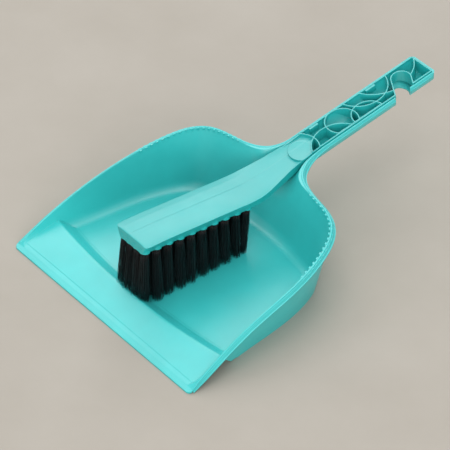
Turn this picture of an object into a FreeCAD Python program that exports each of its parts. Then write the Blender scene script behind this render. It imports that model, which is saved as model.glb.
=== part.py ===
import FreeCAD, Part
import math
import os
from FreeCAD import Vector as V, Placement, Rotation

os.makedirs("parts", exist_ok=True)
doc = FreeCAD.newDocument("dust_pan_set")

# ---------------------------------------------------------------------------
# Driving dimensions, millimetres and degrees
# ---------------------------------------------------------------------------
sheet = doc.addObject("Spreadsheet::Sheet", "Dims")
DIMS = [
    ("pan_lip_width", 222.0, "width of the lip, corner to corner"),
    ("set_length", 339.0, "lip edge to handle tip"),
    ("wall_thick", 1.8, "pan wall"),
    ("wall_draft", 0.21, "outward run of the wall per mm of height"),
    ("floor_top", 2.8, "tray floor above the ground"),
    ("floor_recess", 0.9, "recess under the floor"),
    ("floor_fillet", 9.0, "floor to wall radius"),
    ("ramp_crest_y", 30.8, "ramp crest behind the lip, on the axis"),
    ("ramp_crest_bow", 9.0, "extra crest distance at the sides"),
    ("ramp_crest_z", 11.2, "ramp crest height"),
    ("ramp_back_run", 12.0, "run of the slope behind the crest"),
    ("ramp_thick", 1.9, "ramp sheet"),
    ("lip_thick", 0.8, "lip edge"),
    ("flange_out", 3.3, "flange reach outside the bead"),
    ("flange_drop", 3.4, "flange edge below the bead"),
    ("handle_tilt", 9.0, "handle slope"),
    ("rim_plane_z", 71.2, "brush rim height at handle_ref_y"),
    ("handle_ref_y", 222.0, "start of the straight handle"),
    ("channel_half", 12.65, "inside half width of the handle channel"),
    ("channel_wall", 1.7, "channel wall"),
    ("channel_depth", 17.0, "outside depth of the channel"),
    ("brush_half", 12.3, "outside half width of the brush handle"),
    ("brush_wall", 1.15, "brush handle wall"),
    ("rib_wide", 0.95, "ribs across the brush handle"),
    ("brush_depth", 12.0, "outside depth of the brush handle"),
    ("brush_handle_len", 114.7, "handle_ref_y to the tip, along the slope"),
    ("brush_tip_y", 335.3, "brush handle end behind the lip"),
    ("channel_end_y", 335.7, "inside end of the channel"),
    ("handle_flange", 0.58, "flange scale along the channel"),
    ("nest_gap", 0.8, "gap between the nested neck and the pan"),
    ("notch_radius", 7.9, "hang notch"),
    ("notch_along", 91.2, "notch centre along the slope"),
    ("notch_off", 0.3, "notch centre off the axis"),
    ("pan_notch_radius", 6.8, "notch through the channel"),
    ("pan_notch_along", 88.85, "its centre along the slope"),
    ("pan_notch_off", 0.5, "its centre off the axis"),
    ("rim_below", 0.95, "pan rim below the brush rim along the handle"),
    ("tip_corner", 7.5, "corner radius of the channel tip"),
    ("bevel_run", 4.6, "steeper strip along the lip"),
    ("bevel_z", 2.9, "height of the strip's top"),
    ("thumb_radius", 12.15, "thumb rest"),
    ("thumb_off", 3.2, "its centre off the axis"),
    ("thumb_along", -17.5, "its centre along the slope"),
    ("tuft_pitch", 11.38, "row spacing"),
    ("tuft_first", 37.0, "first row behind the lip"),
    ("tuft_inner_x", 4.0, "inner column"),
    ("tuft_outer_x", 12.0, "outer column"),
    ("tuft_radius", 3.25, "bundle in its hole"),
    ("tuft_flare", 0.62, "taper of a bundle"),
    ("hole_radius", 3.35, "drilled hole"),
    ("hole_depth", 6.0, "drilled depth"),
    ("lobe_radius", 4.3, "edge lobe round an outer hole"),
    ("anchor_thick", 0.4, "flat wire anchor"),
    ("anchor_tall", 1.6, "flat wire anchor height"),
    ("anchor_wide", 6.66, "flat wire anchor length"),
    ("anchor_up", 3.6, "anchor bottom above the block face"),
]
for k in range(10):
    y = 37.0 + 11.38 * k
    foot = 11.5 if k == 0 else (3.7 if k == 9 else 3.3)
    lean = 0.9955 if k == 9 else 1.0
    length = (57.6 - 0.097 * (y - 33.0) - foot) / lean
    DIMS.append(("row_len_%02d" % (k + 1), round(length, 2), "bristle length below the block, row %d" % (k + 1)))
for i, (alias, value, note) in enumerate(DIMS, start=1):
    sheet.set("A%d" % i, alias)
    sheet.set("B%d" % i, "%g" % value)
    sheet.setAlias("B%d" % i, alias)
    sheet.set("C%d" % i, note)
doc.recompute()
D = {alias: float(getattr(sheet, alias)) for alias, _, _ in DIMS}

TILT = math.radians(D["handle_tilt"])
CT, ST, TT = math.cos(TILT), math.sin(TILT), math.tan(TILT)
KX = D["pan_lip_width"] / 222.0
SHIFT = V(0, -D["set_length"] / 2.0, 0)

# Rim line of the pan, right half: x, y, z of the bead centre, lip to handle
RIM = [
    (110.9, 4.0, 3.2), (110.2, 11.95, 8.04), (109.36, 23.92, 14.42), (108.56, 35.89, 20.14),
    (107.82, 47.87, 25.2), (107.12, 59.85, 29.61), (106.47, 71.83, 33.38), (105.84, 83.81, 36.56),
    (105.06, 95.79, 39.36), (103.94, 107.73, 42.02), (102.28, 119.62, 44.79), (100.99, 126.5, 46.49),
    (99.42, 133.32, 48.24), (97.53, 140.06, 50.03), (95.3, 146.69, 51.84), (92.61, 153.15, 53.66),
    (89.23, 159.28, 55.4), (84.9, 164.76, 57.02), (79.53, 169.23, 58.45), (73.38, 172.55, 59.61),
    (66.76, 174.79, 60.47), (59.91, 176.26, 61.06), (53.0, 177.36, 61.46), (46.09, 178.46, 61.76),
    (39.24, 179.92, 62.03), (32.6, 182.1, 62.36), (26.39, 185.32, 62.82), (21.07, 189.83, 63.5),
    (17.2, 195.59, 64.55), (14.8, 202.09, 66.0), (13.75, 208.94, 67.7),
]
RIM = [(x * KX, y, z) for x, y, z in RIM]


def rim_z(y):
    """Height of the bead top at a distance y behind the lip."""
    if y <= 0:
        return 1.3
    pts = [(0.0, 1.3)] + [(p[1], p[2]) for p in RIM]
    if y >= 216.0:
        return D["rim_plane_z"] - D["rim_below"] + (y - D["handle_ref_y"]) * TT
    pts.append((216.0, D["rim_plane_z"] - D["rim_below"] + (216.0 - D["handle_ref_y"]) * TT))
    for (a, za), (b, zb) in zip(pts, pts[1:]):
        if a <= y <= b:
            return za + (zb - za) * (y - a) / (b - a)
    return pts[-1][1]


def spline(points, tangents=None):
    curve = Part.BSplineCurve()
    if tangents:
        curve.interpolate(Points=points, InitialTangent=tangents[0], FinalTangent=tangents[1])
    else:
        curve.interpolate(points)
    return curve


def sub(a, b):
    return (a[0] - b[0], a[1] - b[1])


def normals(points):
    """Outward plan normals of a right-half outline that runs from lip to back."""
    out = []
    for i in range(len(points)):
        a = points[max(i - 1, 0)]
        b = points[min(i + 1, len(points) - 1)]
        tx, ty = sub(b, a)
        n = math.hypot(tx, ty)
        out.append((ty / n, -tx / n))
    return out


# Plan outline of the tray at rim level, right half, carried straight across
# the back so that it closes on the axis.
TRAY = [(p[0], p[1], p[2]) for p in RIM if p[0] > 50.0 * KX]
TRAY = [(111.1 * KX, -14.0, 0.9)] + TRAY + [(38.0, 179.7, 62.05), (20.0, 182.2, 62.4), (0.0, 183.0, 62.5)]


def outline(level, offset):
    """Right-half plan points of the drafted wall at a height, offset outward."""
    flat = [(p[0], p[1]) for p in TRAY]
    nn = normals(flat)
    nn[-1] = (0.0, 1.0)
    pts = []
    for (x, y, z), (nx, ny) in zip(TRAY, nn):
        run = offset - D["wall_draft"] * (z - level)
        pts.append((x + nx * run, y + ny * run))
    return pts


def tray_wire(level, offset):
    right = [V(x, y, level) for x, y in outline(level, offset)]
    left = [V(-p.x, p.y, p.z) for p in reversed(right[:-1])]
    loop = right + left
    c = spline(loop)
    edge = c.toShape()
    return Part.Wire([edge, Part.makeLine(loop[-1], loop[0])])


def tray_solid(offset, low, high):
    return Part.makeLoft([tray_wire(low, offset), tray_wire(high, offset)], True, True)


def prism_x(points, half):
    """Solid from a closed YZ polygon, extruded symmetrically along X."""
    vs = [V(-half, y, z) for y, z in points]
    vs.append(vs[0])
    face = Part.Face(Part.makePolygon(vs))
    return face.extrude(V(2 * half, 0, 0))


def handle_point(x, v, n):
    """A point in the handle's frame: x across, v along the slope, n above the rim plane."""
    return V(x, D["handle_ref_y"] + v * CT - n * ST, D["rim_plane_z"] + v * ST + n * CT)


AX_V = V(0, CT, ST)
AX_N = V(0, -ST, CT)


def u_section(half, depth, radius, v, top=0.0):
    """Closed U section in the handle's frame: flat top, straight sides, round bottom."""
    rc = radius
    zc = -depth + rc
    if rc <= half + 1e-6:
        ns = zc
    else:
        ns = zc - math.sqrt(rc * rc - half * half)
    a = handle_point(-half, v, top)
    b = handle_point(-half, v, ns)
    m = handle_point(0, v, -depth)
    c = handle_point(half, v, ns)
    d = handle_point(half, v, top)
    return Part.Wire([
        Part.makeLine(a, b),
        Part.Arc(b, m, c).toShape(),
        Part.makeLine(c, d),
        Part.makeLine(d, a),
    ])


def u_bar(half, depth, radius, v0, v1, top=0.0):
    face = Part.Face(u_section(half, depth, radius, v0, top))
    return face.extrude(AX_V * (v1 - v0))


def deck_profile(x, lift, front):
    """YZ stations of the ramp surface at a distance x off the axis."""
    c = D["ramp_crest_y"] + D["ramp_crest_bow"] * (abs(x) / 105.0) ** 2.2
    zc = D["ramp_crest_z"]
    zl = D["lip_thick"]
    run = D["ramp_back_run"]
    zf = D["floor_top"]
    return c, zc, zl, run, zf


STATIONS_X = [-125.0, -105.0, -80.0, -52.0, -26.0, 0.0, 26.0, 52.0, 80.0, 105.0, 125.0]


def loft_profiles(make):
    wires = []
    for x in STATIONS_X:
        pts = [V(x, y, z) for y, z in make(x)]
        pts.append(pts[0])
        wires.append(Part.makePolygon(pts))
    return Part.makeLoft(wires, True, False)


def above_deck(x):
    c, zc, zl, run, zf = deck_profile(x, 0, 0)
    by, bz = D["bevel_run"], D["bevel_z"]
    k = (bz - zl) / by
    g = (zc - bz) / (c - by)
    return [(-20.0, zl - 20.0 * k), (by, bz), (by + 3.4, bz + 3.4 * g - 0.12), (by + 3.9, bz + 3.9 * g + 0.05),
            (c - 1.8, zc - 1.8 * g), (c - 0.4, zc - 0.22), (c + 0.9, zc - 0.55),
            (c + 2.2, zc - 1.5), (c + run - 2.2, zf + 1.25), (c + run - 0.4, zf + 0.35), (c + run + 2.4, zf),
            (260.0, zf), (260.0, 120.0), (-20.0, 120.0)]


def under_deck(x):
    c, zc, zl, run, zf = deck_profile(x, 0, 0)
    th = D["ramp_thick"]
    extra = 0.0 if abs(x) < 90.0 else 6.0 + (abs(x) - 105.0) * 0.5
    return [(1.0, -8.0), (1.0, 0.0), (D["bevel_run"] + 0.8, D["bevel_z"] - th + 0.25), (c - 0.8, zc - th - 0.25), (c + 1.0, zc - th - 0.9), (c + run - 3.6, 0.95),
            (c + run - 1.6 + extra, 0.6), (c + run - 1.2 + extra, -0.001), (c + run - 1.2 + extra, -8.0)]


# ---------------------------------------------------------------------------
# Dust pan
# ---------------------------------------------------------------------------
def polyface(points):
    pts = list(points) + [points[0]]
    return Part.Face(Part.makePolygon(pts))


def notch_prism(radius, n0, n1, centre=None):
    """Hang notch: round end on the axis, straight sides opening to +X."""
    du, dv = 0.857, -0.515
    u0, v0 = centre or (D["notch_off"], D["notch_along"])
    pu, pv = 0.515, 0.857
    reach = 26.0

    def at(u, v):
        return handle_point(u, v, n0)

    a = at(u0 + pu * radius, v0 + pv * radius)
    b = at(u0 - du * radius, v0 - dv * radius)
    c = at(u0 - pu * radius, v0 - pv * radius)
    e = at(u0 - pu * radius + du * reach, v0 - pv * radius + dv * reach)
    f = at(u0 + pu * radius + du * reach, v0 + pv * radius + dv * reach)
    wire = Part.Wire([Part.Arc(a, b, c).toShape(), Part.makeLine(c, e), Part.makeLine(e, f), Part.makeLine(f, a)])
    return Part.Face(wire).extrude(AX_N * (n1 - n0))


def rim_section(x, y, z, nx, ny, fv, fh, sign, fb=1.0):
    """Cross section of the rim: inner face, bead, groove, sloping flange."""
    out, drop = D["flange_out"], D["flange_drop"]
    pts = [(-0.9, -2.6), (-0.9, -0.65), (-0.62, -0.18), (-0.2, 0.0), (0.25, 0.0), (0.62, -0.22), (0.8, -0.7),
           (0.95, -1.2), (1.45, -1.25), (out - 0.95, -drop + 0.12), (out, -drop), (out, -drop - 0.95),
           (out - 0.75, -drop - 0.85), (0.9, -2.75)]
    vs = []
    for o, dz in pts:
        oo = o * fh if o > 0.9 else o * fb
        vs.append(V(sign * (x + nx * oo), y + ny * oo, z + dz * fv))
    vs.append(vs[0])
    return Part.makePolygon(vs)


def rim_side(sign):
    path = [p for p in RIM] + [(13.52, 212.6, rim_z(212.6)), (13.43, 217.5, rim_z(217.5)), (13.4, 222.0, rim_z(222.0))]
    nn = normals([(p[0], p[1]) for p in path])
    nn[-1] = (1.0, 0.0)
    nn[0] = (1.0, 0.0)
    wires = []
    for (x, y, z), (nx, ny) in zip(path, nn):
        late = min(1.0, max(0.0, (y - 196.0) / 26.0))
        slim = 1.0 - (1.0 - D["handle_flange"]) * late
        fv = min(slim, (z - 0.25) / 4.6)
        fh = min(slim, 0.55 + 0.45 * max(0.0, y - 6.0) / 20.0)
        wires.append(rim_section(x, y, z, nx, ny, fv, fh, sign, 1.0 - 0.15 * late))
    return Part.makeLoft(wires, True, False)


def rim_handle():
    """Straight rim along the channel and round its closed end, mitred."""
    f = D["handle_flange"]
    yt = D["set_length"] - D["flange_out"] * f
    zt = rim_z(yt)
    x, b = 13.4, 0.85
    w = [rim_section(x, 222.0, rim_z(222.0), 1.0, 0.0, f, f, 1, b),
         rim_section(x, yt, zt, 1.0, 1.0, f, f, 1, b),
         rim_section(x, yt, zt, 1.0, 1.0, f, f, -1, b),
         rim_section(x, 222.0, rim_z(222.0), 1.0, 0.0, f, f, -1, b)]
    return Part.makeLoft(w, True, True)


def teeth():
    """Comb teeth on both rear corners, inside the bead and across the groove."""
    path = [p for p in RIM if p[1] >= 107.0 and p[0] > 39.0]
    nn = normals([(p[0], p[1]) for p in path])
    acc = [0.0]
    for a, b in zip(path, path[1:]):
        acc.append(acc[-1] + math.hypot(b[0] - a[0], b[1] - a[1]))
    solids = []
    dist = 14.0
    while dist < acc[-1] - 3.0:
        k = max(i for i in range(len(acc)) if acc[i] <= dist)
        k = min(k, len(path) - 2)
        f = (dist - acc[k]) / (acc[k + 1] - acc[k])
        x, y, z = [path[k][j] + f * (path[k + 1][j] - path[k][j]) for j in range(3)]
        nx = nn[k][0] + f * (nn[k + 1][0] - nn[k][0])
        ny = nn[k][1] + f * (nn[k + 1][1] - nn[k][1])
        m = math.hypot(nx, ny)
        nx, ny = nx / m, ny / m
        tx, ty = -ny, nx
        dz = (path[k + 1][2] - path[k][2]) / (acc[k + 1] - acc[k])
        for sign in (1, -1):
            pts = []
            for o, t in ((-2.2, -0.95), (1.7, -1.25), (1.7, 1.25), (-2.2, 0.95)):
                pts.append(V(sign * (x + nx * o + tx * t), y + ny * o + ty * t, z - 0.35 + dz * t - (0.55 if o > 0 else 0.0)))
            top = Part.makePolygon(pts + [pts[0]])
            dx, dy = sign * nx * 1.1, ny * 1.1
            foot = [V(p.x + (dx if k in (0, 3) else 0.0), p.y + (dy if k in (0, 3) else 0.0), p.z - 3.4) for k, p in enumerate(pts)]
            low = Part.makePolygon(foot + [foot[0]])
            solids.append(Part.makeLoft([low, top], True, True))
        dist += 5.0
    return solids


def concave_edges(shape, low, high):
    found = []
    for e in shape.Edges:
        bb = e.BoundBox
        if bb.YMin > 165 and bb.YMax < 215 and abs(bb.Center.x) < 30 and bb.ZMax < high and bb.ZMax - bb.ZMin > 1:
            found.append(e)
    return found


def corner_tool(half, y_end, r):
    """Two corner waste pieces that round a square end of half width half."""
    out = []
    for sign in (1, -1):
        c = half - r
        box = Part.makeBox(r + 8.0, r + 8.0, 160.0, V(c if sign > 0 else -c - r - 8.0, y_end - r, -20.0))
        out.append(box.cut(Part.makeCylinder(r, 180.0, V(sign * c, y_end - r, -30.0))))
    return Part.makeCompound(out)


def build_pan():
    wt = D["wall_thick"]
    half = wt / 2.0
    ch, cw = D["channel_half"], D["channel_wall"]
    outer = tray_solid(half, 0.0, 80.0)
    inner = tray_solid(-half, -6.0, 86.0)
    end_y = D["channel_end_y"]
    chan_o = u_bar(ch + cw, D["channel_depth"], ch + cw, -48.0, 125.0, 25.0)
    chan_o = chan_o.common(Part.makeBox(80, end_y + cw, 160, V(-40, 0, 0)))
    chan_i = u_bar(ch, D["channel_depth"] - cw, ch, -60.0, 125.0, 25.0)
    chan_i = chan_i.common(Part.makeBox(80, end_y, 160, V(-40, 0, 0)))
    shell_o = outer.fuse(chan_o)
    shell_o = shell_o.makeFillet(27.5, concave_edges(shell_o, 0, 79))
    # floor edge radius on the cavity before it meets the ramp
    lift = D["floor_top"]
    cav = inner.common(Part.makeBox(300, 300, 90, V(-150, -30, lift)))
    bottom = [e for e in cav.Edges if e.BoundBox.ZMax - e.BoundBox.ZMin < 1e-3 and abs(e.BoundBox.ZMin - lift) < 1e-3 and e.Length > 300]
    cav = cav.makeFillet(D["floor_fillet"], bottom)
    front = loft_profiles(above_deck)
    low = inner.common(Part.makeBox(300, 80.0, 30, V(-150, -30, -6)))
    wedge = low.common(front)
    cavity = cav.common(front)
    cavity = cavity.fuse(chan_i)
    cavity = cavity.makeFillet(28.0, concave_edges(cavity, 0, 85))
    under = loft_profiles(under_deck)
    profile = [(0.0, -1.0), (0.0, 1.3)]
    ys = [4.0 + 4.0 * i for i in range(int((D["set_length"] - 4.0) / 4.0) + 4)]
    profile += [(y, rim_z(y) - 0.5) for y in ys]
    profile += [(ys[-1], -1.0)]
    below_rim = prism_x(profile, 130.0)
    body = shell_o.common(below_rim)
    xc = D["pan_lip_width"] / 2.0 + 0.75
    rr = 4.0
    print("body0", body.isValid(), round(body.Volume), "shell", shell_o.isValid(), "below", below_rim.isValid())
    for sign in (1, -1):
        x0 = xc - rr if sign > 0 else -xc - 6.0
        tool = Part.makeBox(rr + 6.0, rr + 2.0, 8.0, V(x0, -2.0, -2.0))
        tool = tool.cut(Part.makeCylinder(rr, 12.0, V(sign * (xc - rr), rr, -4.0)))
        body = body.cut(tool)
    print("b0", body.isValid(), round(body.Volume), "cav", cavity.isValid(), round(cavity.Volume), "under", under.isValid(), round(under.Volume))
    body = body.cut(cavity)
    print("b1", body.isValid(), len(body.Solids), round(body.Volume))
    body = body.cut(under)
    print("b2", body.isValid(), len(body.Solids), round(body.Volume))
    recess_pts = [(x, y) for x, y in outline(0.0, half - 5.0)]
    rp = [V(x, y, -1.0) for x, y in recess_pts if y > 62.0]
    left = [V(-p.x, p.y, p.z) for p in reversed(rp[:-1])]
    c = spline(rp + left).toShape()
    recess = Part.Face(Part.Wire([c, Part.makeLine(left[-1], rp[0])])).extrude(V(0, 0, 1.0 + D["floor_recess"]))
    body = body.cut(recess)
    rims = [rim_side(1), rim_side(-1), rim_handle()]
    for r in rims:
        print("rim", r.isValid(), round(r.Volume))
    body = body.multiFuse(rims)
    print("body+rims", body.isValid(), len(body.Solids), round(body.Volume))
    body = body.multiFuse(teeth())
    print("teeth", body.isValid(), len(body.Solids), round(body.Volume))
    body = body.cut(notch_prism(D["pan_notch_radius"], -30.0, 8.0, (D["pan_notch_off"], D["pan_notch_along"])))
    print("notch", body.isValid(), len(body.Solids), round(body.Volume))
    body = body.cut(nest_clearance())
    # low end wall and round corners at the tip of the channel
    yt = D["set_length"]
    tops = [handle_point(0, 113.0, -1.8), handle_point(0, 124.0, -1.8)]
    dy = end_y - 0.7 - tops[0].y
    low_y = [tops[0].y + dy, tops[1].y]
    low_z = [tops[0].z + dy * TT, tops[1].z]
    body = body.cut(prism_x([(low_y[0], low_z[0]), (low_y[1], low_z[1]), (low_y[1], 130.0), (low_y[0], 130.0)], 30.0))
    body = body.cut(corner_tool(13.4 + D["flange_out"] * D["handle_flange"], yt, D["tip_corner"]))
    print("nest", body.isValid(), len(body.Solids), round(body.Volume))
    return body


# ---------------------------------------------------------------------------
# Brush block
# ---------------------------------------------------------------------------
# y, half width of the top edge, its height, crown, half width low on the side,
# height there, half width of the flat underside, underside height
HEAD = [
    (33.2, 16.6, 66.1, 0.5, 13.9, 57.3, 12.6, 56.6),
    (33.5, 17.6, 66.1, 0.8, 14.1, 57.3, 12.9, 56.6),
    (34.2, 18.4, 66.1, 1.05, 14.4, 57.3, 13.2, 56.6),
    (35.5, 19.0, 66.05, 1.2, 14.6, 57.15, 13.4, 56.5),
    (38.0, 19.3, 65.95, 1.3, 14.6, 57.0, 13.5, 56.2),
    (46.0, 19.38, 65.65, 1.3, 14.6, 56.3, 13.5, 55.4),
    (56.0, 19.4, 65.1, 1.3, 14.6, 55.3, 13.5, 54.4),
    (74.0, 19.38, 63.4, 1.3, 14.6, 53.6, 13.5, 52.7),
    (98.0, 19.36, 61.1, 1.3, 14.6, 51.3, 13.5, 50.4),
    (122.0, 19.38, 58.85, 1.3, 14.6, 48.9, 13.5, 48.0),
    (136.0, 19.38, 57.5, 1.28, 14.8, 47.6, 13.4, 46.7),
    (146.0, 19.2, 56.95, 1.25, 15.4, 47.9, 13.0, 46.2),
    (154.0, 18.6, 57.25, 1.1, 16.0, 48.9, 12.4, 46.4),
    (162.0, 17.45, 58.5, 0.55, 15.6, 50.6, 11.4, 47.1),
    (170.0, 16.0, 60.1, 0.0, 14.6, 52.0, 10.0, 48.4),
    (178.0, 14.5, 61.9, -0.5, 13.4, 53.6, 8.6, 50.2),
    (186.0, 13.35, 63.7, -0.95, 12.5, 55.4, 7.4, 52.4),
    (194.0, 12.6, 65.1, -1.35, 11.9, 57.0, 6.6, 54.4),
    (203.0, 12.0, 66.3, -0.9, 11.45, 58.8, 6.0, 56.5),
    (211.0, 11.75, 67.2, -0.4, 11.3, 61.2, 5.6, 58.2),
    (216.0, 12.0, 67.8, -0.1, 11.6, 63.4, 5.4, 59.0),
    (221.0, 12.2, 68.5, 0.05, 11.9, 65.6, 5.2, 59.9),
    (226.0, 12.27, 69.5, 0.0, 12.1, 67.6, 5.0, 60.8),
    (231.0, 12.28, 72.5, 0.0, 12.2, 69.0, 5.0, 61.6),
]


def block_section(row):
    y, w, ze, crown, wb, zl, b2, zb = row
    p0, p1 = V(-b2, y, zb), V(b2, y, zb)
    p2, q2 = V(wb, y, zl), V(-wb, y, zl)
    p3, q3 = V(w, y, ze), V(-w, y, ze)
    mid = V(0, y, ze + crown)
    r = spline([p3, V(w * 0.72, y, ze + crown * 0.75), V(w * 0.36, y, ze + crown * 0.98), mid])
    s = spline([mid, V(-w * 0.36, y, ze + crown * 0.98), V(-w * 0.72, y, ze + crown * 0.75), q3])
    return Part.Wire([Part.makeLine(p0, p1), Part.makeLine(p1, p2), Part.makeLine(p2, p3), r.toShape(),
                      s.toShape(), Part.makeLine(q3, q2), Part.makeLine(q2, p0)])


def nest_clearance():
    """The neck's outline grown by the nesting gap and carried upward."""
    g = D["nest_gap"]
    wires = []
    for y, w, ze, crown, wb, zl, b2, zb in [r for r in HEAD if r[0] >= 154.0]:
        if y > 212.0:
            w, wb = min(w, 11.9), min(wb, 11.7)
        pts = [(-b2 - g, zb - g), (b2 + g, zb - g), (wb + g, zl - g), (w + g, ze - g), (w + g, ze + 30.0),
               (-w - g, ze + 30.0), (-w - g, ze - g), (-wb - g, zl - g)]
        vs = [V(x, y, z) for x, z in pts]
        vs.append(vs[0])
        wires.append(Part.makePolygon(vs))
    return Part.makeLoft(wires, True, False)


def face_z(y):
    """Height of the drilled face of the block."""
    return 57.6 - 0.097 * (y - 33.0)


def cyl_handle(u, v, r, n0, n1):
    return Part.makeCylinder(r, n1 - n0, handle_point(u, v, n0), AX_N)


def row_frame(i):
    """Placement of a tuft row: local Z points up into the block."""
    y = D["tuft_first"] + i * D["tuft_pitch"]
    lean = 5.5 if i == 9 else 0.0
    return Placement(V(0, y, face_z(y)), Rotation(V(1, 0, 0), -lean))


RIBS = [(2.2, 25.3, 14.1), (-17.7, 61.4, 23.6), (20.8, 7.0, 23.1), (12.0, 46.0, 14.5), (-25.6, 85.9, 33.1)]
TIP_ARC = (-23.6, 89.45, 28.15)
NECK_ARC = (1.1, -21.4, 18.4)
# Side rails of the neck: distance along the slope, top above the rim plane
RAIL = [(-28.0, -2.5), (-26.0, -1.9), (-18.0, -1.25), (-10.0, -0.55), (-3.0, 0.0), (4.5, 0.0)]
# Ledges inside the handle rails: u from, u to, v from, v to, top
LEDGES = [(-11.6, -9.1, 1.0, 10.0, -0.35), (-11.6, -9.1, 61.6, 71.7, -0.35), (10.15, 11.6, 12.0, 60.0, -0.5)]


def half_width(y):
    """Half width of the block's top edge at y."""
    for a, b in zip(HEAD, HEAD[1:]):
        if a[0] <= y <= b[0]:
            return a[1] + (b[1] - a[1]) * (y - a[0]) / (b[0] - a[0])
    return HEAD[-1][1]


def neck_rail(sign):
    """One side rail of the neck, rising out of its edge up to the handle rim."""
    wires = []
    for v, n in RAIL:
        y = handle_point(0, v, n).y
        w = half_width(y) + 0.12
        us = (w - D["brush_wall"] - 0.05, w)
        vs = [handle_point(sign * us[0], v, -4.6), handle_point(sign * us[1], v, -4.6),
              handle_point(sign * us[1], v, n), handle_point(sign * us[0], v, n)]
        vs.append(vs[0])
        wires.append(Part.makePolygon(vs))
    return Part.makeLoft(wires, True, True)


def build_brush():
    loft = Part.makeLoft([block_section(r) for r in HEAD], True, False)
    print("head", loft.isValid(), round(loft.Volume))
    columns = (-D["tuft_outer_x"], -D["tuft_inner_x"], D["tuft_inner_x"], D["tuft_outer_x"])
    lobes = []
    for i in range(10):
        pl = row_frame(i)
        for x in columns if i == 0 else (columns[0], columns[3]):
            lobe = Part.makeCylinder(D["lobe_radius"], 8.0, V(x, 0, -3.0))
            lobe.Placement = pl
            lobes.append(lobe)
    block = loft.multiFuse(lobes)
    y0, y1 = 20.0, 146.5
    block = block.cut(prism_x([(y0, face_z(y0)), (y1, face_z(y1)), (y1, 20.0), (y0, 20.0)], 40.0))
    print("lobes", block.isValid(), len(block.Solids))
    # straight ribbed handle
    L = D["brush_handle_len"]
    bh, bw, bd = D["brush_half"], D["brush_wall"], D["brush_depth"]
    bar = u_bar(bh, bd, 13.0, 4.0, L + 4.0)
    bar = bar.common(Part.makeBox(80, D["brush_tip_y"], 140, V(-40, 0, 0)))
    bar = bar.cut(corner_tool(bh, D["brush_tip_y"], 1.6))
    # thumb rest, bounded by the sides of the neck
    plan = [(r[0], r[1]) for r in HEAD if r[0] > 165.0] + [(236.0, bh)]
    ring = [V(x, y, 40.0) for y, x in plan] + [V(-x, y, 40.0) for y, x in reversed(plan)]
    sides = polyface(ring).extrude(V(0, 0, 60.0))
    tu, tv, tr = D["thumb_off"], D["thumb_along"], D["thumb_radius"]
    disc = cyl_handle(tu, tv, tr, -6.0, 3.0).common(sides)
    vs = [handle_point(0, v, n) for v, n in ((-34.0, -0.2), (-29.0, -0.5), (-17.0, -1.35), (-5.0, -2.1), (-5.0, 12.0), (-34.0, 12.0))]
    disc = disc.cut(prism_x([(p.y, p.z) for p in vs], 20.0))
    # its dished top
    disc = disc.cut(Part.makeSphere(72.0, handle_point(tu, tv, -1.32 + 72.0 - 0.95)))
    hw = D["rib_wide"] / 2.0
    nu, nv, nr = NECK_ARC
    eu, ev, er = RIBS[2]
    ring = cyl_handle(nu, nv, nr + hw, -9.0, 0.0).cut(cyl_handle(nu, nv, nr - hw, -10.0, 1.0))
    rear = [handle_point(0, v, n) for v, n in ((-14.0, -9.0), (4.0, -9.0), (4.0, 0.0), (-14.0, 0.0))]
    ring = ring.common(sides).common(prism_x([(p.y, p.z) for p in rear], 20.0))
    arc = cyl_handle(eu, ev, er + hw, -9.0, 0.0).cut(cyl_handle(eu, ev, er - hw, -10.0, 1.0))
    arc = arc.common(cyl_handle(nu, nv, nr, -12.0, 2.0)).common(sides)
    hull = u_bar(bh, bd, 13.0, -40.0, 10.0)
    ring, arc = ring.common(hull), arc.common(hull)
    rails = [neck_rail(1).common(hull), neck_rail(-1).common(hull)]
    root = u_bar(bh, bd, 13.0, -12.0, 6.0).common(sides.fuse(Part.makeBox(60, 40, 80, V(-30, 221.0, 30))))
    root = root.cut(cyl_handle(nu, nv, nr, -20.0, 12.0))
    body = block.fuse(disc).fuse(bar).fuse(ring).fuse(arc).fuse(rails[0]).fuse(rails[1]).fuse(root)
    print("bar", body.isValid(), len(body.Solids))
    # open cells of the handle
    inner = u_bar(bh - bw, bd - 1.6, 11.6, -16.0, L + 4.0, 6.0)
    inner = inner.common(Part.makeBox(80, D["brush_tip_y"] - bw, 140, V(-40, 0, 0)))
    inner = inner.common(sides.fuse(Part.makeBox(60, 200, 80, V(-30, 232.0, 30))))
    lens = inner.common(cyl_handle(nu, nv, nr - hw, -20.0, 12.0))
    lens = lens.common(cyl_handle(eu, ev, er - hw, -20.0, 12.0))
    inner = inner.cut(cyl_handle(nu, nv, nr + hw, -20.0, 12.0))
    tip_side = [handle_point(0, v, n) for v, n in ((98.0, -14.0), (120.0, -14.0), (120.0, 0.0), (98.0, 0.0))]
    keep_tip = prism_x([(p.y, p.z) for p in tip_side], 20.0)
    walls = []
    for k, (u, v, r) in enumerate(RIBS + [TIP_ARC]):
        wall = cyl_handle(u, v, r + hw, -14.0, 0.0).cut(cyl_handle(u, v, r - hw, -15.0, 1.0))
        if k == 4:
            wall = wall.cut(keep_tip)
        if k == 5:
            wall = wall.common(keep_tip)
        walls.append(wall)
    walls.append(notch_prism(D["notch_radius"] + 1.0, -14.0, 0.0))
    for u0, u1, v0, v1, n1 in LEDGES:
        vs = [handle_point(u0, v, n) for v, n in ((v0, -14.0), (v1, -14.0), (v1, n1), (v0, n1))]
        walls.append(polyface(vs).extrude(V(u1 - u0, 0, 0)))
    cells = inner
    for w in walls:
        cells = cells.cut(w)
    print("cells", cells.isValid(), len(cells.Solids), round(cells.Volume))
    body = body.cut(cells).cut(lens)
    body = body.cut(notch_prism(D["notch_radius"], -16.0, 3.0))
    print("notched", body.isValid(), len(body.Solids), round(body.Volume))
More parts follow.
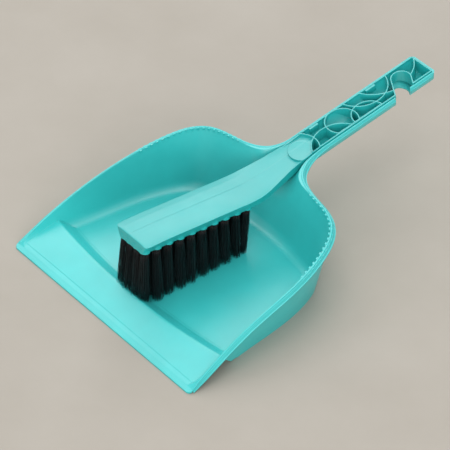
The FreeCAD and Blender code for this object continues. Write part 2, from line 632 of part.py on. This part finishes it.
    # holes and anchor pockets
    tools = []
    for i in range(10):
        pl = row_frame(i)
        for x in columns:
            hole = Part.makeCylinder(D["hole_radius"], D["hole_depth"] + 4.0, V(x, 0, -4.0))
            hole.Placement = pl
            slot = Part.makeBox(D["anchor_wide"], D["anchor_thick"], D["anchor_tall"],
                                V(x - D["anchor_wide"] / 2.0, -D["anchor_thick"] / 2.0, D["anchor_up"]))
            slot.Placement = pl
            tools += [hole]
    body = body.cut(Part.makeCompound(tools))
    print("drilled", body.isValid(), len(body.Solids), round(body.Volume))
    return body


def origin_plane(body, role):
    for f in body.Origin.OriginFeatures:
        if f.Role == role:
            return f
    raise RuntimeError("no plane " + role)


COLUMNS = ((-1, "tuft_outer_x"), (-1, "tuft_inner_x"), (1, "tuft_inner_x"), (1, "tuft_outer_x"))


def circle_sketch(body, name, radius_alias):
    """Four circles on the row's X axis."""
    sk = body.newObject("Sketcher::SketchObject", name)
    sk.AttachmentSupport = (origin_plane(body, "XY_Plane"), [""])
    sk.MapMode = "FlatFace"
    for side, alias in COLUMNS:
        x = side * D[alias]
        g = sk.addGeometry(Part.Circle(V(x, 0, 0), V(0, 0, 1), D[radius_alias]), False)
        c = sk.addConstraint(Sketcher.Constraint("Radius", g, D[radius_alias]))
        sk.setExpression("Constraints[%d]" % c, "Dims.%s * 1 mm" % radius_alias)
        sk.addConstraint(Sketcher.Constraint("PointOnObject", g, 3, -1))
        c = sk.addConstraint(Sketcher.Constraint("DistanceX", -1, 1, g, 3, x))
        sk.setExpression("Constraints[%d]" % c, "%d * Dims.%s * 1 mm" % (side, alias))
    return sk


def anchor_sketch(body, name):
    """Four upright rectangles in the row's XZ plane."""
    sk = body.newObject("Sketcher::SketchObject", name)
    sk.AttachmentSupport = (origin_plane(body, "XZ_Plane"), [""])
    sk.MapMode = "FlatFace"
    hw, z0, z1 = D["anchor_wide"] / 2.0, D["anchor_up"], D["anchor_up"] + D["anchor_tall"]
    for side, alias in COLUMNS:
        x = side * D[alias]
        ps = [V(x - hw, z0, 0), V(x + hw, z0, 0), V(x + hw, z1, 0), V(x - hw, z1, 0)]
        ids = [sk.addGeometry(Part.LineSegment(ps[k], ps[(k + 1) % 4]), False) for k in range(4)]
        for k in range(4):
            sk.addConstraint(Sketcher.Constraint("Coincident", ids[k], 2, ids[(k + 1) % 4], 1))
        sk.addConstraint(Sketcher.Constraint("Horizontal", ids[0]))
        sk.addConstraint(Sketcher.Constraint("Horizontal", ids[2]))
        sk.addConstraint(Sketcher.Constraint("Vertical", ids[1]))
        sk.addConstraint(Sketcher.Constraint("Vertical", ids[3]))
        c = sk.addConstraint(Sketcher.Constraint("DistanceX", ids[0], 1, ids[0], 2, 2 * hw))
        sk.setExpression("Constraints[%d]" % c, "Dims.anchor_wide * 1 mm")
        c = sk.addConstraint(Sketcher.Constraint("DistanceY", ids[1], 1, ids[1], 2, z1 - z0))
        sk.setExpression("Constraints[%d]" % c, "Dims.anchor_tall * 1 mm")
        c = sk.addConstraint(Sketcher.Constraint("DistanceY", -1, 1, ids[0], 1, z0))
        sk.setExpression("Constraints[%d]" % c, "Dims.anchor_up * 1 mm")
        c = sk.addConstraint(Sketcher.Constraint("DistanceX", -1, 1, ids[0], 1, x - hw))
        sk.setExpression("Constraints[%d]" % c, "(%d * Dims.%s - Dims.anchor_wide / 2) * 1 mm" % (side, alias))
    return sk


def tuft_row(i):
    name = "tuft_row_%02d" % (i + 1)
    body = doc.addObject("PartDesign::Body", name)
    body.Label = name
    body.AllowCompound = True
    root = body.newObject("PartDesign::Pad", name + "_root")
    root.Profile = circle_sketch(body, name + "_root_circles", "tuft_radius")
    root.setExpression("Length", "Dims.hole_depth * 1 mm")
    doc.recompute()
    brush = body.newObject("PartDesign::Pad", name + "_bristles")
    brush.Profile = circle_sketch(body, name + "_bristle_circles", "tuft_radius")
    brush.Reversed = True
    brush.setExpression("Length", "Dims.row_len_%02d * 1 mm" % (i + 1))
    brush.setExpression("TaperAngle", "Dims.tuft_flare * 1 deg")
    doc.recompute()
    slot = body.newObject("PartDesign::Pocket", name + "_fold")
    slot.Profile = anchor_sketch(body, name + "_fold_slots")
    slot.SideType = "Symmetric"
    slot.setExpression("Length", "Dims.anchor_thick * 1 mm")
    body.Tip = slot
    body.Placement = Placement(SHIFT, Rotation()).multiply(row_frame(i))
    return body


def staple_row(i):
    name = "staples_row_%02d" % (i + 1)
    body = doc.addObject("PartDesign::Body", name)
    body.Label = name
    body.AllowCompound = True
    pad = body.newObject("PartDesign::Pad", name + "_plates")
    pad.Profile = anchor_sketch(body, name + "_outline")
    pad.SideType = "Symmetric"
    pad.setExpression("Length", "Dims.anchor_thick * 1 mm")
    body.Tip = pad
    body.Placement = Placement(SHIFT, Rotation()).multiply(row_frame(i))
    return body


import Sketcher
import time

t0 = time.time()
nodes = []
for name, make in (("dust_pan", build_pan), ("brush_body", build_brush)):
    feature = doc.addObject("Part::Feature", name)
    feature.Label = name
    feature.Shape = make()
    feature.Placement = Placement(SHIFT, Rotation())
    nodes.append(feature)
    print(name, round(time.time() - t0, 1))
for i in range(10):
    nodes.append(tuft_row(i))
    nodes.append(staple_row(i))
doc.recompute()
print("rows", round(time.time() - t0, 1))

# ---------------------------------------------------------------------------
# Checks and export
# ---------------------------------------------------------------------------
for obj in doc.Objects:
    bad = [st for st in obj.State if st in ("Invalid", "Error")]
    if bad:
        raise RuntimeError("%s: %s" % (obj.Name, bad))
for node in nodes:
    shape = node.Shape
    if shape.isNull() or not shape.isValid() or not shape.Solids:
        raise RuntimeError("bad shape: " + node.Label)
    want = 1 if node.Label in ("dust_pan", "brush_body") else 4
    if len(shape.Solids) != want:
        raise RuntimeError("%s has %d solids" % (node.Label, len(shape.Solids)))
row = [n for n in nodes if n.Label == "tuft_row_05"][0]
r, ln = D["tuft_radius"], D["row_len_05"]
rb = r + ln * math.tan(math.radians(D["tuft_flare"]))
cone = math.pi * ln * (r * r + r * rb + rb * rb) / 3.0 + math.pi * r * r * D["hole_depth"]
slot = D["anchor_thick"] * D["anchor_tall"] * 2 * r
if abs(row.Shape.Volume / 4.0 - (cone - slot)) > 1.0:
    raise RuntimeError("tuft volume %.1f, expected %.1f" % (row.Shape.Volume / 4.0, cone - slot))
for node in nodes:
    node.Shape.exportStep("parts/%s.step" % node.Label)
    bb = node.Shape.BoundBox
    print(node.Label, len(node.Shape.Solids), round(node.Shape.Volume, 1), [round(q, 2) for q in (bb.XMin, bb.XMax, bb.YMin, bb.YMax, bb.ZMin, bb.ZMax)])
print("written", round(time.time() - t0, 1))
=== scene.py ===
import math
import bpy
import numpy as np
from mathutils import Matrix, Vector


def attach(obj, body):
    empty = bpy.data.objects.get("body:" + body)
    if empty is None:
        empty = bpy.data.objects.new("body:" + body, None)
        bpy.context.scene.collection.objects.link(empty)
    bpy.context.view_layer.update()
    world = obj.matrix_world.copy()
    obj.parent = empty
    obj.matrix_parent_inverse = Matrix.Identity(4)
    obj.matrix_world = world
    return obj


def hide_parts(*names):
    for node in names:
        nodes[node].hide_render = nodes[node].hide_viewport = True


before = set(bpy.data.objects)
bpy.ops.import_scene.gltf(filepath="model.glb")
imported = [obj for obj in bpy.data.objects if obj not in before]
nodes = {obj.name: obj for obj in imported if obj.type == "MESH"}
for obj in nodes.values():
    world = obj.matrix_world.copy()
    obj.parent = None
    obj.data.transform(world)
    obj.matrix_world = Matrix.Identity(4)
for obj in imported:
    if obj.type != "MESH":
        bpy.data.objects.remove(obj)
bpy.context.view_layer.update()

scene = bpy.context.scene
MM = 0.001
SHIFT_Y = 169.5          # half the set's length: lip-based Y to frame Y
RNG = np.random.default_rng(7)


# ---------------------------------------------------------------- materials
def new_material(name):
    mat = bpy.data.materials.new(name)
    mat.use_nodes = True
    nt = mat.node_tree
    nt.nodes.clear()
    out = nt.nodes.new("ShaderNodeOutputMaterial")
    bsdf = nt.nodes.new("ShaderNodeBsdfPrincipled")
    nt.links.new(bsdf.outputs[0], out.inputs[0])
    return mat, nt, bsdf


def add(nt, kind, **props):
    n = nt.nodes.new(kind)
    for k, v in props.items():
        if k.startswith("in_"):
            n.inputs[k[3:].replace("_", " ")].default_value = v
        else:
            setattr(n, k, v)
    return n


def ramp(nt, fac, stops):
    r = nt.nodes.new("ShaderNodeValToRGB")
    r.color_ramp.interpolation = "LINEAR"
    el = r.color_ramp.elements
    while len(el) < len(stops):
        el.new(0.5)
    for e, (p, c) in zip(el, stops):
        e.position = p
        e.color = (*c, 1.0)
    nt.links.new(fac, r.inputs[0])
    return r


def plastic(name, base, streak_axis=None, streak=0.0, crease=None):
    """Satin moulded polypropylene: faint flow variation, fine texture, rubbing marks."""
    mat, nt, bsdf = new_material(name)
    L = nt.links.new
    tc = add(nt, "ShaderNodeTexCoord")
    # slow colour drift of the moulding
    slow = add(nt, "ShaderNodeTexNoise", in_Scale=22.0, in_Detail=3.0, in_Roughness=0.55)
    L(tc.outputs["Object"], slow.inputs["Vector"])
    lo = tuple(c * 0.94 for c in base)
    hi = tuple(min(1.0, c * 1.05 + 0.004) for c in base)
    col = ramp(nt, slow.outputs["Fac"], [(0.3, lo), (0.7, hi)])
    colour = col.outputs[0]
    # flow streaks along one direction
    mp = add(nt, "ShaderNodeMapping")
    mp.inputs["Scale"].default_value = streak_axis or (1.0, 1.0, 1.0)
    L(tc.outputs["Object"], mp.inputs["Vector"])
    st = add(nt, "ShaderNodeTexNoise", in_Scale=60.0, in_Detail=4.0, in_Roughness=0.6)
    L(mp.outputs[0], st.inputs["Vector"])
    mix = add(nt, "ShaderNodeMix", data_type="RGBA", blend_type="MULTIPLY")
    mix.inputs[0].default_value = 1.0
    st_r = ramp(nt, st.outputs["Fac"], [(0.25, (1.0 - streak,) * 3), (0.75, (1.0 + 0.0,) * 3)])
    L(colour, mix.inputs[6])
    L(st_r.outputs[0], mix.inputs[7])
    L(mix.outputs[2], bsdf.inputs["Base Color"])
    # roughness: satin with slightly polished and rubbed areas
    rn = add(nt, "ShaderNodeTexNoise", in_Scale=75.0, in_Detail=5.0, in_Roughness=0.6)
    L(tc.outputs["Object"], rn.inputs["Vector"])
    rr = add(nt, "ShaderNodeMapRange")
    rr.inputs["From Min"].default_value = 0.3
    rr.inputs["From Max"].default_value = 0.7
    rr.inputs["To Min"].default_value = 0.30
    rr.inputs["To Max"].default_value = 0.40
    L(rn.outputs["Fac"], rr.inputs["Value"])
    L(rr.outputs[0], bsdf.inputs["Roughness"])
    # fine mould texture and hairline scuffs
    fine = add(nt, "ShaderNodeTexNoise", in_Scale=900.0, in_Detail=2.0, in_Roughness=0.5)
    L(tc.outputs["Object"], fine.inputs["Vector"])
    b1 = add(nt, "ShaderNodeBump", in_Strength=0.06, in_Distance=0.0003)
    L(fine.outputs["Fac"], b1.inputs["Height"])
    wav = add(nt, "ShaderNodeTexNoise", in_Scale=30.0, in_Detail=2.0, in_Roughness=0.4)
    L(tc.outputs["Object"], wav.inputs["Vector"])
    b2 = add(nt, "ShaderNodeBump", in_Strength=0.10, in_Distance=0.0012)
    L(wav.outputs["Fac"], b2.inputs["Height"])
    soft = add(nt, "ShaderNodeBevel", samples=6)
    soft.inputs["Radius"].default_value = 0.0005
    L(soft.outputs[0], b1.inputs["Normal"])
    L(b1.outputs[0], b2.inputs["Normal"])
    last = b2
    if crease is not None:
        # a shallow crease along the top and the sloping strip beside its edge
        sx = add(nt, "ShaderNodeSeparateXYZ")
        L(tc.outputs["Object"], sx.inputs[0])
        for k, (x0, x1, strength) in enumerate(crease):
            mr = add(nt, "ShaderNodeMapRange", interpolation_type="SMOOTHSTEP")
            mr.inputs["From Min"].default_value = x0
            mr.inputs["From Max"].default_value = x1
            L(sx.outputs["X"], mr.inputs["Value"])
            bb = add(nt, "ShaderNodeBump", in_Strength=strength, in_Distance=0.0006)
            L(mr.outputs[0], bb.inputs["Height"])
            L(last.outputs[0], bb.inputs["Normal"])
            last = bb
    L(last.outputs[0], bsdf.inputs["Normal"])
    bsdf.inputs["IOR"].default_value = 1.49
    bsdf.inputs["Specular IOR Level"].default_value = 0.9
    bsdf.inputs["Subsurface Weight"].default_value = 0.12
    bsdf.inputs["Subsurface Radius"].default_value = (0.5, 1.0, 1.0)
    bsdf.inputs["Subsurface Scale"].default_value = 0.0025
    return mat


PAN = plastic("pan_plastic", (0.042, 0.590, 0.583), streak_axis=(1.0, 0.25, 1.0), streak=0.03)
BLOCK = plastic("block_plastic", (0.018, 0.465, 0.458), streak_axis=(1.0, 0.06, 1.0), streak=0.06,
                crease=[(-0.0034, -0.0018, 0.35), (-0.0155, -0.0125, 0.3)])


def bristle_material():
    mat, nt, bsdf = new_material("bristle_filament")
    L = nt.links.new
    tc = add(nt, "ShaderNodeTexCoord")
    n = add(nt, "ShaderNodeTexNoise", in_Scale=420.0, in_Detail=2.0, in_Roughness=0.5)
    L(tc.outputs["Object"], n.inputs["Vector"])
    c = ramp(nt, n.outputs["Fac"], [(0.3, (0.0035, 0.0045, 0.005)), (0.72, (0.011, 0.014, 0.016))])
    L(c.outputs[0], bsdf.inputs["Base Color"])
    rr = add(nt, "ShaderNodeMapRange")
    rr.inputs["To Min"].default_value = 0.30
    rr.inputs["To Max"].default_value = 0.5
    L(n.outputs["Fac"], rr.inputs["Value"])
    L(rr.outputs[0], bsdf.inputs["Roughness"])
    bsdf.inputs["IOR"].default_value = 1.5
    bsdf.inputs["Specular IOR Level"].default_value = 0.35
    return mat


BRISTLE = bristle_material()


def steel_material():
    mat, nt, bsdf = new_material("anchor_wire")
    L = nt.links.new
    tc = add(nt, "ShaderNodeTexCoord")
    mp = add(nt, "ShaderNodeMapping")
    mp.inputs["Scale"].default_value = (0.1, 1.0, 1.0)
    L(tc.outputs["Object"], mp.inputs["Vector"])
    n = add(nt, "ShaderNodeTexNoise", in_Scale=2500.0, in_Detail=2.0)
    L(mp.outputs[0], n.inputs["Vector"])
    c = ramp(nt, n.outputs["Fac"], [(0.3, (0.42, 0.42, 0.43)), (0.7, (0.56, 0.56, 0.57))])
    L(c.outputs[0], bsdf.inputs["Base Color"])
    rr = add(nt, "ShaderNodeMapRange")
    rr.inputs["To Min"].default_value = 0.28
    rr.inputs["To Max"].default_value = 0.45
    L(n.outputs["Fac"], rr.inputs["Value"])
    L(rr.outputs[0], bsdf.inputs["Roughness"])
    bsdf.inputs["Metallic"].default_value = 1.0
    return mat


STEEL = steel_material()


def dress(obj, mat, angle=28.0):
    obj.data.materials.clear()
    obj.data.materials.append(mat)
    for p in obj.data.polygons:
        p.material_index = 0


dress(nodes["dust_pan"], PAN)
dress(nodes["brush_body"], BLOCK)
for i in range(1, 11):
    dress(nodes["staples_row_%02d" % i], STEEL)
    dress(nodes["tuft_row_%02d" % i], BRISTLE)


# ---------------------------------------------------------------- bristles
def deck_z(x, y):
    """Ramp and floor height inside the tray, lip-based millimetres."""
    c = 30.8 + 9.0 * (np.abs(x) / 105.0) ** 2.2
    g = (11.2 - 2.9) / (c - 4.6)
    front = 2.9 + (y - 4.6) * g
    back = 11.2 - (y - c - 1.0) * (11.2 - 2.8) / 11.0
    return np.where(y < c, front, np.maximum(back, 2.8))


def face_z(y):
    return 57.6 - 0.097 * (y - 33.0)


def filaments(row):
    """One cross row of four tufts, each a bundle of separate filaments."""
    y0 = 37.0 + 11.38 * row
    lean = math.tan(math.radians(5.5)) if row == 9 else 0.0
    verts, faces = [], []
    count, rings, sides = 165, 6, 3
    gx = 0.95 if row == 9 else 1.34
    gy = {8: 1.15, 9: 0.80}.get(row, 1.62)
    ang = np.arange(sides) * 2 * math.pi / sides
    for cx in (-12.0, -4.0, 4.0, 12.0):
        k = np.arange(count)
        rr = 3.05 * np.sqrt((k + 0.5) / count)
        th = k * 2.399963 + RNG.uniform(0, 6.28)
        rx = rr * np.cos(th) + RNG.normal(0, 0.06, count)
        ry = rr * np.sin(th) + RNG.normal(0, 0.06, count)
        # filaments gather in a few strands and open towards the tips
        nc = 5
        ca = RNG.uniform(0, 6.28) + np.arange(nc) * 2 * math.pi / nc
        cxy = np.stack([1.9 * np.cos(ca), 1.9 * np.sin(ca)], 1)
        d = (rx[:, None] - cxy[None, :, 0]) ** 2 + (ry[:, None] - cxy[None, :, 1]) ** 2
        near = cxy[np.argmin(d, 1)]
        open_x = gx * rx + 0.06 * (near[:, 0] - rx)
        open_y = gy * ry + 0.06 * (near[:, 1] - ry)
        tx = open_x + 0.03 * cx + RNG.normal(0, 0.6, count) + (-1.1 if cx < 0 and row == 0 else 0.0)
        ty = open_y + RNG.normal(0, 0.45 if row > 7 else 0.8, count) + (-2.4 if row == 0 else 0.0)
        tx = tx + RNG.normal(0, 0.25)
        ty = ty + RNG.normal(0, 0.30)
        ztop = face_z(y0) + 1.5
        tipx = cx + tx
        tipy = y0 + ty - lean * 43.0
        floor = deck_z(tipx, tipy)
        short = RNG.exponential(0.6 if row == 0 else 0.95, count) + 0.12
        stray = RNG.random(count) < 0.10
        short = short + np.where(stray, RNG.uniform(0.5, 5.0, count), 0.0)
        tuft_short = RNG.uniform(0.0, 0.3)
        tipz = floor + short + tuft_short
        bend = RNG.normal(0, 0.25, (count, 2))
        rad = RNG.uniform(0.13, 0.175, count)
        t = np.linspace(0, 1, rings)
        for f in range(count):
            px = cx + rx[f] + (tx[f] - rx[f]) * t ** 0.8 + bend[f, 0] * np.sin(math.pi * t)
            py = y0 + ry[f] + (ty[f] - ry[f]) * t ** 0.8 + bend[f, 1] * np.sin(math.pi * t) - lean * 43.0 * t
            pz = ztop + (tipz[f] - ztop) * t
            rt = rad[f] * np.where(t > 0.99, 0.55, 1.0)
            base = len(verts)
            tw = RNG.uniform(0, 2.1)
            for q in range(rings):
                for a in ang:
                    verts.append(((px[q] + rt[q] * math.cos(a + tw)) * MM,
                                  (py[q] - SHIFT_Y + rt[q] * math.sin(a + tw)) * MM, pz[q] * MM))
            for q in range(rings - 1):
                for s in range(sides):
                    s2 = (s + 1) % sides
                    a0 = base + q * sides
                    faces.append((a0 + s2, a0 + s, a0 + sides + s, a0 + sides + s2))
            faces.append(tuple(base + s for s in range(sides)))
            last = base + (rings - 1) * sides
            faces.append(tuple(last + s for s in reversed(range(sides))))
    me = bpy.data.meshes.new("bristles_row_%02d" % (row + 1))
    me.from_pydata(verts, [], faces)
    me.update()
    me.polygons.foreach_set("use_smooth", np.ones(len(me.polygons), dtype=bool))
    ob = bpy.data.objects.new("bristles_row_%02d" % (row + 1), me)
    scene.collection.objects.link(ob)
    me.materials.append(BRISTLE)
    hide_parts("tuft_row_%02d" % (row + 1))
    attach(ob, "brush")
    return ob


for row in range(10):
    filaments(row)


# ---------------------------------------------------------------- stage
def floor_material():
    mat, nt, bsdf = new_material("stage_floor")
    L = nt.links.new
    tc = add(nt, "ShaderNodeTexCoord")
    n = add(nt, "ShaderNodeTexNoise", in_Scale=9.0, in_Detail=6.0, in_Roughness=0.6)
    L(tc.outputs["Object"], n.inputs["Vector"])
    c = ramp(nt, n.outputs["Fac"], [(0.3, (0.405, 0.366, 0.315)), (0.7, (0.440, 0.401, 0.350))])
    L(c.outputs[0], bsdf.inputs["Base Color"])
    bsdf.inputs["Roughness"].default_value = 0.75
    return mat


me = bpy.data.meshes.new("stage_floor")
me.from_pydata([(-3, -3, 0), (3, -3, 0), (3, 3, 0), (-3, 3, 0)], [], [(0, 1, 2, 3)])
floor = bpy.data.objects.new("stage_floor", me)
scene.collection.objects.link(floor)
me.materials.append(floor_material())

world = bpy.data.worlds.new("studio")
scene.world = world
world.use_nodes = True
bg = world.node_tree.nodes["Background"]
bg.inputs[0].default_value = (0.93, 0.97, 1.0, 1.0)
bg.inputs[1].default_value = 0.55


def area(name, loc, target, size, energy, colour=(1, 1, 1)):
    li = bpy.data.lights.new(name, "AREA")
    li.shape = "RECTANGLE"
    li.size, li.size_y = size
    li.energy = energy
    li.color = colour
    ob = bpy.data.objects.new(name, li)
    scene.collection.objects.link(ob)
    ob.location = loc
    ob.rotation_euler = (Vector(target) - Vector(loc)).to_track_quat("-Z", "Y").to_euler()
    return ob


area("back_panel", (-1.85, 0.95, 2.0), (0, 0, 0.03), (3.2, 2.2), 44.0, (1.0, 0.995, 0.985))
area("top_soft", (0.1, -0.1, 2.0), (0, 0, 0.0), (1.6, 1.6), 14.0, (1.0, 0.995, 0.985))
area("front_fill", (2.0, -1.7, 1.05), (0, 0, 0.03), (2.8, 1.4), 40.0, (1.0, 0.99, 0.98))

cam = bpy.data.cameras.new("camera")
cam_ob = bpy.data.objects.new("camera", cam)
scene.collection.objects.link(cam_ob)
cam_ob.location = (1.4018, -1.1938, 1.5610)
cam_ob.rotation_euler = (math.radians(49.8), 0.0, math.radians(50.60))
cam.sensor_width = 36.0
cam.lens = 238.85
cam.clip_start = 0.05
cam.clip_end = 30.0
scene.camera = cam_ob
scene.view_settings.view_transform = "Standard"
